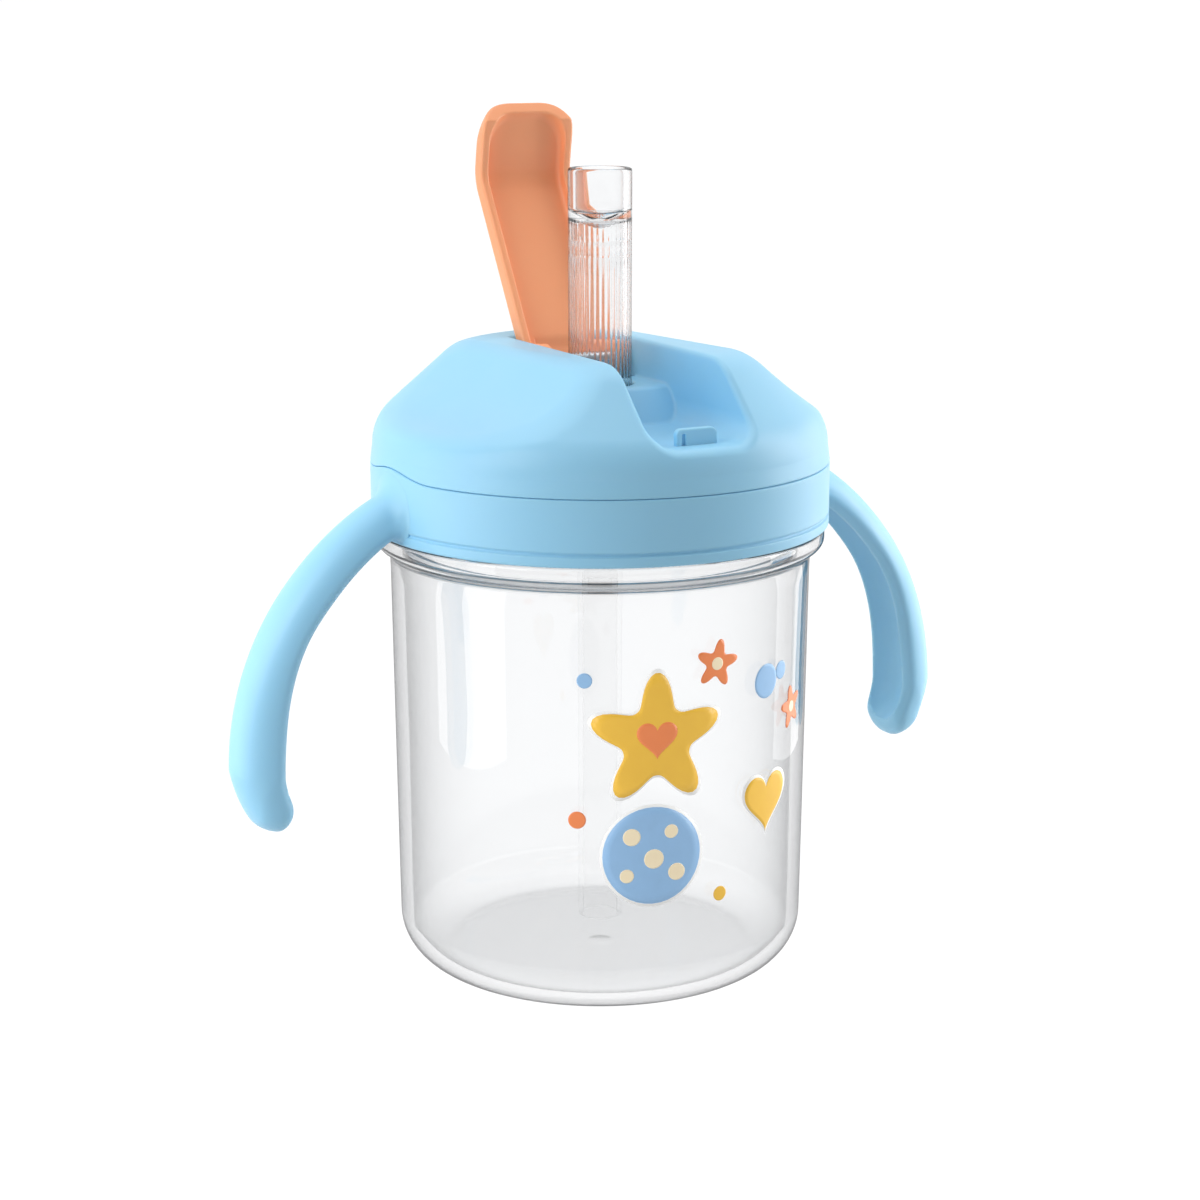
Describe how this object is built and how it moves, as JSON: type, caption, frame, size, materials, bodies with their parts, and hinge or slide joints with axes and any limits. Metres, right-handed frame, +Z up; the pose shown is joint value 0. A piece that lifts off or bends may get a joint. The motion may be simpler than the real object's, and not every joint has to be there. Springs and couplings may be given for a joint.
{
  "type": "sippy cup",
  "caption": "Toddler straw cup: clear round body, domed screw lid with two hooked handles, and a flip cover hinged over a soft straw.",
  "frame": {"origin": "centre of the cup's underside, on the surface it stands on", "axes": "+Z up along the cup's axis; -Y towards the drinking side, where the lid's slot opens; the handles lie along -X and +X"},
  "size_m": [0.1392, 0.08, 0.1508],
  "materials": {
    "clear_body": "glossy",
    "lid_blue": "satin",
    "inner_white": "satin",
    "seal_silicone": "matte",
    "clear_silicone": "satin",
    "pin_steel": "satin",
    "cover_orange": "satin"
  },
  "bodies": {
    "cup": {"cup_body": "clear_body", "cup_neck": "clear_body"},
    "lid": {"handle_ring": "lid_blue", "handle_left": "lid_blue", "handle_right": "lid_blue", "lid_dome": "lid_blue", "inner_lid": "inner_white", "seal_ring": "seal_silicone", "air_valve": "seal_silicone", "straw_connector": "inner_white", "lower_straw": "clear_silicone", "hinge_pin": "pin_steel"},
    "cover": {"flip_cover": "cover_orange"},
    "straw": {"straw_mouthpiece": "clear_silicone"}
  },
  "joints": [
    {"name": "lid_lift", "type": "slide", "parent": "cup", "child": "lid", "axis": [0, 0, 1], "range_m": [0, 0.1]},
    {"name": "cover_hinge", "type": "hinge", "parent": "lid", "child": "cover", "pos_m": [0, 0.0088, 0.1065], "axis": [1, 0, 0], "range_deg": [0, 121.5]},
    {"name": "straw_fold", "type": "hinge", "parent": "lid", "child": "straw", "pos_m": [0, 0.0058, 0.1088], "axis": [1, 0, 0], "range_deg": [0, 90], "deforming": ["straw_mouthpiece"]}
  ],
  "couplings": [
    {"joint": "straw_fold", "follows": "cover_hinge", "ratio": 0.74}
  ]
}
